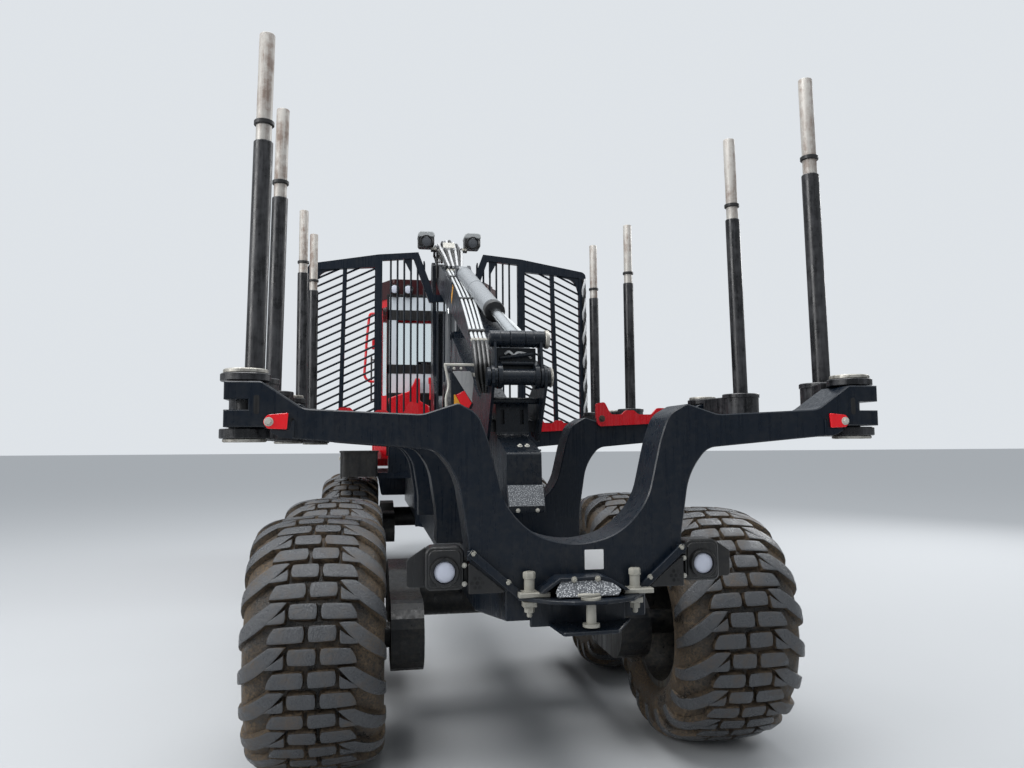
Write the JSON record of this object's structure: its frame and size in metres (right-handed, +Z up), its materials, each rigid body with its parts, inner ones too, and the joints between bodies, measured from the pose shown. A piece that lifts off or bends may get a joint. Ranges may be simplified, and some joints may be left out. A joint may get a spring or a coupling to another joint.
{
  "type": "forestry forwarder",
  "caption": "Centre-hinged timber forwarder with bogie wheels, swinging stakes, headboard, a folded loading crane with grapple, and a red cab and hood.",
  "frame": {"origin": "on the ground under the middle of the machine's length, in its middle plane", "axes": "+Y to the machine's front, +X to its right, +Z up"},
  "size_m": [3.107, 10.09, 4.13],
  "materials": {
    "frame_paint": "satin bluish-black paint with mud and dust",
    "crane_paint": "satin black paint, worn at the edges",
    "red_paint": "glossy bright red paint",
    "roof_paint": "dark red paint, dusty",
    "black_plastic": "matt black moulded plastic",
    "engine_paint": "grey engine paint",
    "window_glass": "tinted safety glass",
    "seat_fabric": "black woven seat cloth",
    "rod_chrome": "hard chrome, ground",
    "grapple_steel": "worn black paint over steel",
    "tyre_rubber": "black rubber caked with tan mud"
  },
  "bodies": {
    "rear_section": {"rear_frame": "frame_paint", "rear_axle": "frame_paint", "bolsters": "frame_paint", "bolster_guards": "red_paint", "headboard": "frame_paint", "tow_hitch": "frame_paint", "tail_lamps": "black_plastic", "crane_post": "frame_paint"},
    "front_section": {"front_fork": "frame_paint", "front_frame": "frame_paint", "front_axle": "frame_paint", "engine": "engine_paint", "side_boxes": "frame_paint", "cab_shell": "red_paint", "cab_roof": "roof_paint", "cab_panes": "window_glass", "rear_cover": "red_paint", "cab_seat": "seat_fabric"},
    "door": {"cab_door": "red_paint", "door_pane": "window_glass"},
    "engine_hood": {"hood": "red_paint"},
    "boom": {"main_boom": "crane_paint", "boom_lamps": "black_plastic"},
    "rocker_arm": {"rocker": "crane_paint"},
    "lift_tube": {"lift_barrel": "crane_paint"},
    "lift_piston": {"lift_rod": "rod_chrome"},
    "fold_tube": {"stick_barrel": "crane_paint"},
    "fold_piston": {"stick_rod": "rod_chrome"},
    "stick_arm": {"stick": "crane_paint"},
    "extension": {"stick_extension": "crane_paint"},
    "link": {"hanger": "crane_paint"},
    "grapple": {"rotator": "crane_paint"},
    "claw_aft": {"jaw_aft": "grapple_steel"},
    "claw_fore": {"jaw_fore": "grapple_steel"},
    "stake_1_left_body": {"stake_1_left": "frame_paint"},
    "stake_1_right_body": {"stake_1_right": "frame_paint"},
    "stake_2_left_body": {"stake_2_left": "frame_paint"},
    "stake_2_right_body": {"stake_2_right": "frame_paint"},
    "stake_3_left_body": {"stake_3_left": "frame_paint"},
    "stake_3_right_body": {"stake_3_right": "frame_paint"},
    "stake_4_left_body": {"stake_4_left": "frame_paint"},
    "stake_4_right_body": {"stake_4_right": "frame_paint"},
    "wheel_rear_aft_left_body": {"wheel_rear_aft_left": "tyre_rubber"},
    "wheel_rear_aft_right_body": {"wheel_rear_aft_right": "tyre_rubber"},
    "wheel_rear_fore_left_body": {"wheel_rear_fore_left": "tyre_rubber"},
    "wheel_rear_fore_right_body": {"wheel_rear_fore_right": "tyre_rubber"},
    "wheel_front_aft_left_body": {"wheel_front_aft_left": "tyre_rubber"},
    "wheel_front_aft_right_body": {"wheel_front_aft_right": "tyre_rubber"},
    "wheel_front_fore_left_body": {"wheel_front_fore_left": "tyre_rubber"},
    "wheel_front_fore_right_body": {"wheel_front_fore_right": "tyre_rubber"}
  },
  "joints": [
    {"name": "steering", "type": "hinge", "parent": "rear_section", "child": "front_section", "pos_m": [0, 1.395, 0.985], "axis": [0, 0, 1], "range_deg": [-42, 42]},
    {"name": "door_swing", "type": "hinge", "parent": "front_section", "child": "door", "pos_m": [-0.842, 3.241, 2.6], "axis": [0, 0, -1], "range_deg": [0, 85]},
    {"name": "hood_tilt", "type": "hinge", "parent": "front_section", "child": "engine_hood", "pos_m": [0, 4.935, 1.37], "axis": [-1, 0, 0], "range_deg": [0, 60]},
    {"name": "boom_lift", "type": "hinge", "parent": "rear_section", "child": "boom", "pos_m": [0, 0.945, 3.75], "axis": [-1, 0, 0], "range_deg": [0, 85]},
    {"name": "lift_tube_swing", "type": "hinge", "parent": "rear_section", "child": "lift_tube", "pos_m": [0, 0.61, 2.2], "axis": [-1, 0, 0], "range_deg": [-1, 6]},
    {"name": "lift_piston_slide", "type": "slide", "parent": "lift_tube", "child": "lift_piston", "axis": [0, -0.0548, 0.9985], "range_m": [0, 0.75]},
    {"name": "fold_tube_swing", "type": "hinge", "parent": "boom", "child": "fold_tube", "pos_m": [0, -0.73008, 3.38292], "axis": [-1, 0, 0], "range_deg": [-4, 4]},
    {"name": "fold_piston_slide", "type": "slide", "parent": "fold_tube", "child": "fold_piston", "axis": [0, -0.938, -0.3467], "range_m": [-0.18, 0]},
    {"name": "rocker_swing", "type": "hinge", "parent": "boom", "child": "rocker_arm", "pos_m": [0, -3.55522, 2.12094], "axis": [-1, 0, 0], "range_deg": [0, 55]},
    {"name": "stick_fold", "type": "hinge", "parent": "boom", "child": "stick_arm", "pos_m": [0, -3.55522, 2.12094], "axis": [-1, 0, 0], "range_deg": [0, 140]},
    {"name": "extension_slide", "type": "slide", "parent": "stick_arm", "child": "extension", "axis": [0, 0.9403, 0.3404], "range_m": [0, 1.8]},
    {"name": "link_swing", "type": "hinge", "parent": "extension", "child": "link", "pos_m": [0, -0.40522, 2.79994], "axis": [-1, 0, 0], "range_deg": [-150, 150]},
    {"name": "grapple_turn", "type": "hinge", "parent": "link", "child": "grapple", "pos_m": [0, -0.40522, 2.55], "axis": [0, 0, 1], "continuous": true},
    {"name": "claw_fore_open", "type": "hinge", "parent": "grapple", "child": "claw_fore", "pos_m": [0, -0.29522, 2.31], "axis": [1, 0, 0], "range_deg": [0, 60]},
    {"name": "claw_aft_open", "type": "hinge", "parent": "grapple", "child": "claw_aft", "pos_m": [0, -0.51522, 2.31], "axis": [-1, 0, 0], "range_deg": [0, 60]},
    {"name": "stake_1_left_swing", "type": "hinge", "parent": "rear_section", "child": "stake_1_left_body", "pos_m": [-1.345, -4.745, 1.9], "axis": [0, 0, 1], "range_deg": [0, 90]},
    {"name": "stake_1_right_swing", "type": "hinge", "parent": "rear_section", "child": "stake_1_right_body", "pos_m": [1.345, -4.745, 1.9], "axis": [0, 0, -1], "range_deg": [0, 90]},
    {"name": "stake_2_left_swing", "type": "hinge", "parent": "rear_section", "child": "stake_2_left_body", "pos_m": [-1.345, -3.115, 1.9], "axis": [0, 0, -1], "range_deg": [0, 90]},
    {"name": "stake_2_right_swing", "type": "hinge", "parent": "rear_section", "child": "stake_2_right_body", "pos_m": [1.345, -3.115, 1.9], "axis": [0, 0, 1], "range_deg": [0, 90]},
    {"name": "stake_3_left_swing", "type": "hinge", "parent": "rear_section", "child": "stake_3_left_body", "pos_m": [-1.345, -1.165, 1.9], "axis": [0, 0, -1], "range_deg": [0, 90]},
    {"name": "stake_3_right_swing", "type": "hinge", "parent": "rear_section", "child": "stake_3_right_body", "pos_m": [1.345, -1.165, 1.9], "axis": [0, 0, 1], "range_deg": [0, 90]},
    {"name": "stake_4_left_swing", "type": "hinge", "parent": "rear_section", "child": "stake_4_left_body", "pos_m": [-1.345, -0.445, 1.9], "axis": [0, 0, -1], "range_deg": [0, 90]},
    {"name": "stake_4_right_swing", "type": "hinge", "parent": "rear_section", "child": "stake_4_right_body", "pos_m": [1.345, -0.445, 1.9], "axis": [0, 0, 1], "range_deg": [0, 90]},
    {"name": "wheel_rear_aft_left_roll", "type": "hinge", "parent": "rear_section", "child": "wheel_rear_aft_left_body", "pos_m": [-1.114, -3.514, 0.67], "axis": [1, 0, 0], "continuous": true},
    {"name": "wheel_rear_aft_right_roll", "type": "hinge", "parent": "rear_section", "child": "wheel_rear_aft_right_body", "pos_m": [1.114, -3.514, 0.67], "axis": [1, 0, 0], "continuous": true},
    {"name": "wheel_rear_fore_left_roll", "type": "hinge", "parent": "rear_section", "child": "wheel_rear_fore_left_body", "pos_m": [-1.114, -2.014, 0.67], "axis": [1, 0, 0], "continuous": true},
    {"name": "wheel_rear_fore_right_roll", "type": "hinge", "parent": "rear_section", "child": "wheel_rear_fore_right_body", "pos_m": [1.114, -2.014, 0.67], "axis": [1, 0, 0], "continuous": true},
    {"name": "wheel_front_aft_left_roll", "type": "hinge", "parent": "front_section", "child": "wheel_front_aft_left_body", "pos_m": [-1.114, 2.345, 0.67], "axis": [1, 0, 0], "continuous": true},
    {"name": "wheel_front_aft_right_roll", "type": "hinge", "parent": "front_section", "child": "wheel_front_aft_right_body", "pos_m": [1.114, 2.345, 0.67], "axis": [1, 0, 0], "continuous": true},
    {"name": "wheel_front_fore_left_roll", "type": "hinge", "parent": "front_section", "child": "wheel_front_fore_left_body", "pos_m": [-1.114, 3.845, 0.67], "axis": [1, 0, 0], "continuous": true},
    {"name": "wheel_front_fore_right_roll", "type": "hinge", "parent": "front_section", "child": "wheel_front_fore_right_body", "pos_m": [1.114, 3.845, 0.67], "axis": [1, 0, 0], "continuous": true}
  ],
  "couplings": [
    {"joint": "lift_tube_swing", "follows": "boom_lift", "ratio": 0.0146},
    {"joint": "lift_piston_slide", "follows": "boom_lift", "m_per_rad": 0.4935},
    {"joint": "stick_fold", "follows": "boom_lift", "ratio": 0.4},
    {"joint": "rocker_swing", "follows": "boom_lift", "ratio": 0.15},
    {"joint": "fold_tube_swing", "follows": "boom_lift", "ratio": -0.0065},
    {"joint": "fold_piston_slide", "follows": "boom_lift", "m_per_rad": -0.029},
    {"joint": "extension_slide", "follows": "boom_lift", "m_per_rad": 0.8},
    {"joint": "link_swing", "follows": "boom_lift", "ratio": -1.4},
    {"joint": "claw_aft_open", "follows": "claw_fore_open", "ratio": 1}
  ]
}
